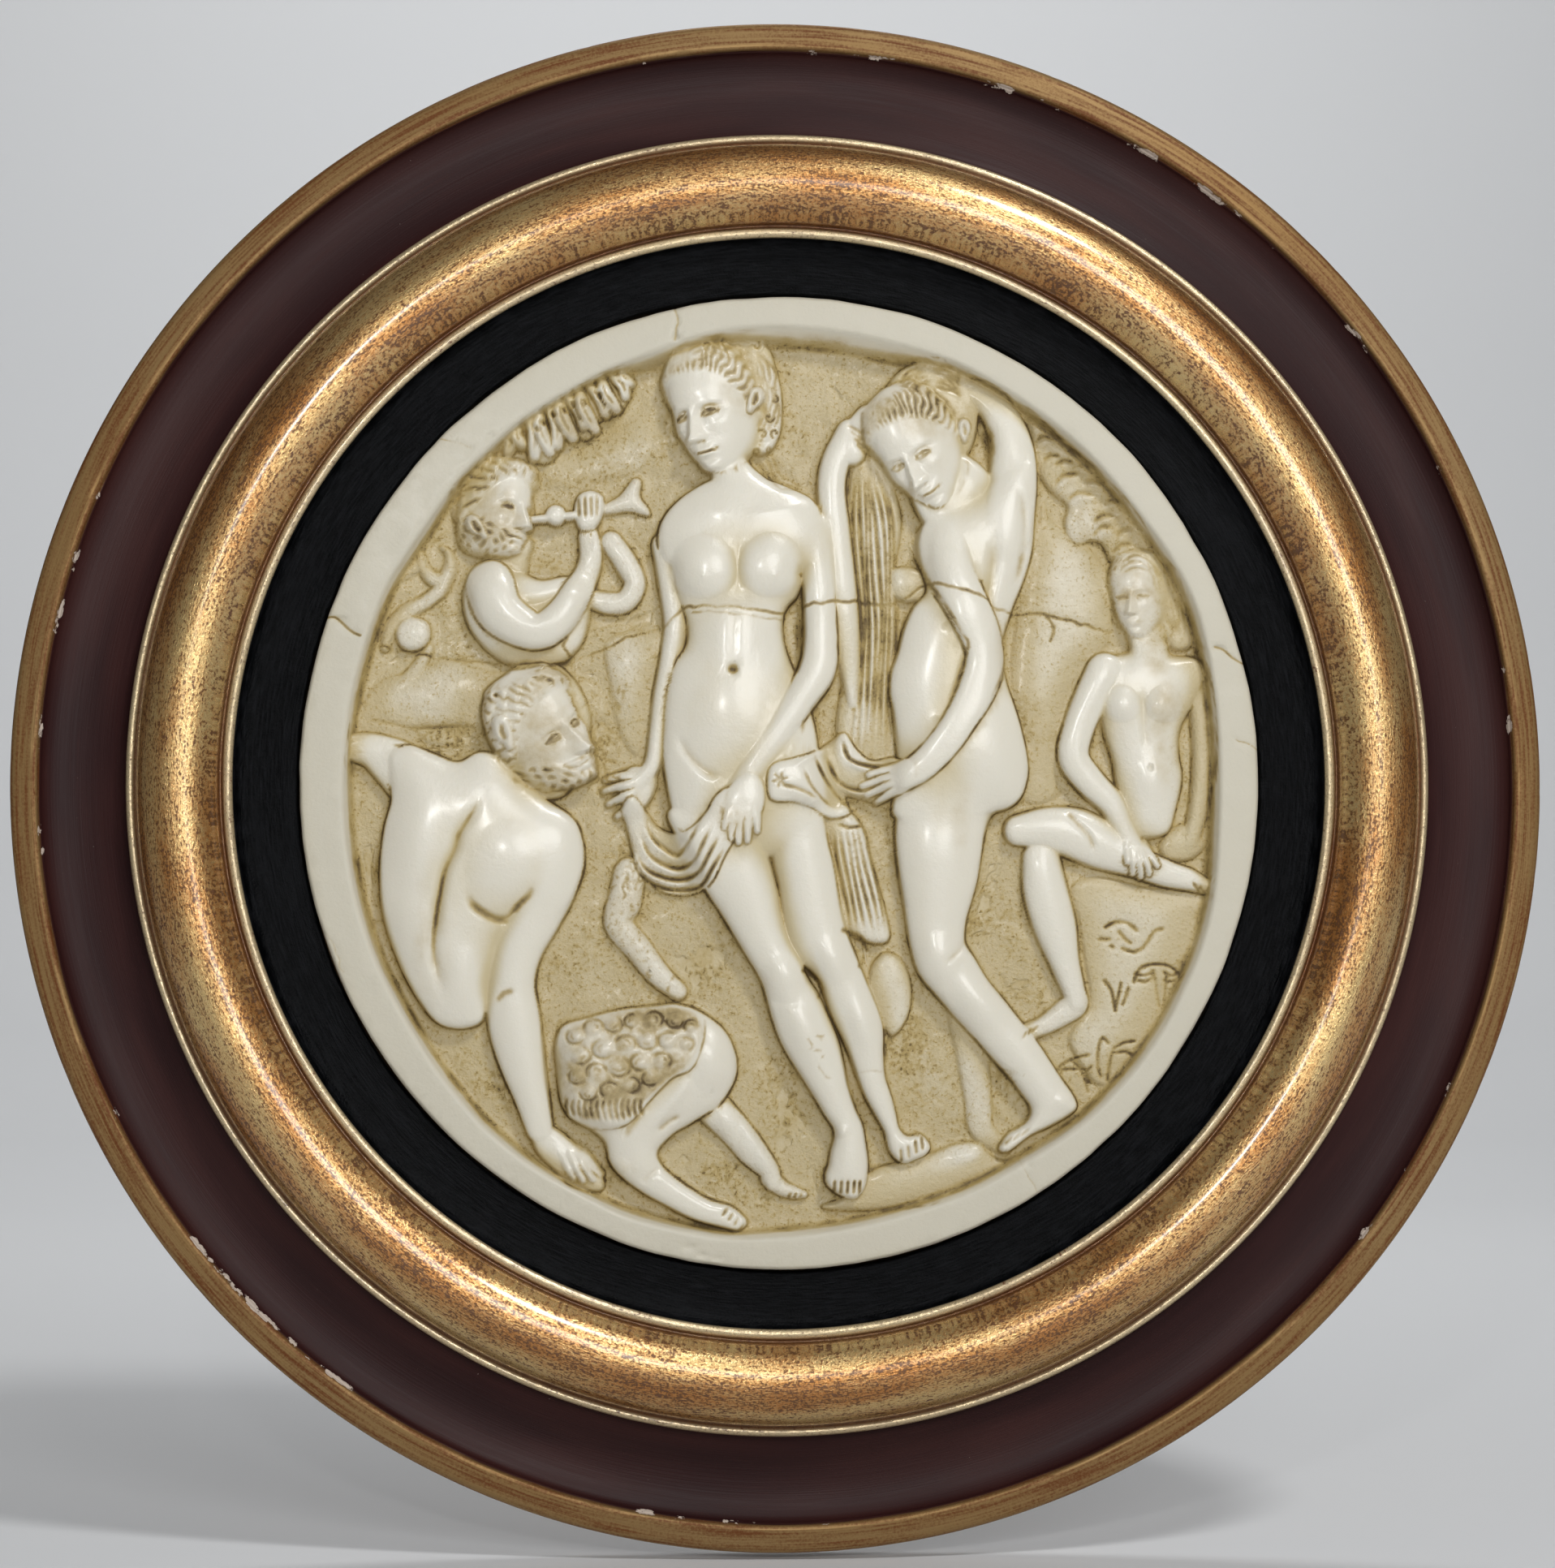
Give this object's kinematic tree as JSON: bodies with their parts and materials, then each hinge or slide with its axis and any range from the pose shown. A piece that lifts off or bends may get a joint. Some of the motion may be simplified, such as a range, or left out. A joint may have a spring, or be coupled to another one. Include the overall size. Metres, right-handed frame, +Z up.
{
  "type": "framed relief tondo",
  "caption": "Round carved alabaster relief of mythological bathers and satyrs, in a turned frame with gilt edge, dark red hollow, gilt half-round moulding and black slip.",
  "frame": {"origin": "middle of the hanging plate's back face, between its two screws, where the tondo bears on the wall at its hook", "axes": "+Z up, +Y out of the back towards the wall, the carved front faces -Y, +X to the right of a viewer in front"},
  "size_m": [0.48, 0.0376, 0.48],
  "materials": {
    "alabaster": "polished ivory alabaster with brown dirt in the hollows, worn high places and glued cracks",
    "painted_wood": "satin dark red paint in the hollow, worn gilding over red bole on the edge, white ground showing at chips",
    "gilded_wood": "burnished gold leaf, rubbed through to brown-red bole in streaks",
    "ebonised_wood": "brushed black lacquer with a dull sheen",
    "bare_wood": "bare aged softwood boards",
    "plate_brass": "tarnished sheet brass",
    "nail_iron": "dull rusted iron"
  },
  "bodies": {
    "root": {"alabaster_relief": "alabaster", "outer_frame": "painted_wood", "gilt_moulding": "gilded_wood", "ebonised_slip": "ebonised_wood", "back_board": "bare_wood", "hanging_plate": "plate_brass", "plate_screw_1": "plate_brass", "plate_screw_2": "plate_brass", "board_nail_1": "nail_iron", "board_nail_2": "nail_iron", "board_nail_3": "nail_iron", "board_nail_4": "nail_iron", "board_nail_5": "nail_iron", "board_nail_6": "nail_iron"}
  },
  "joints": []
}
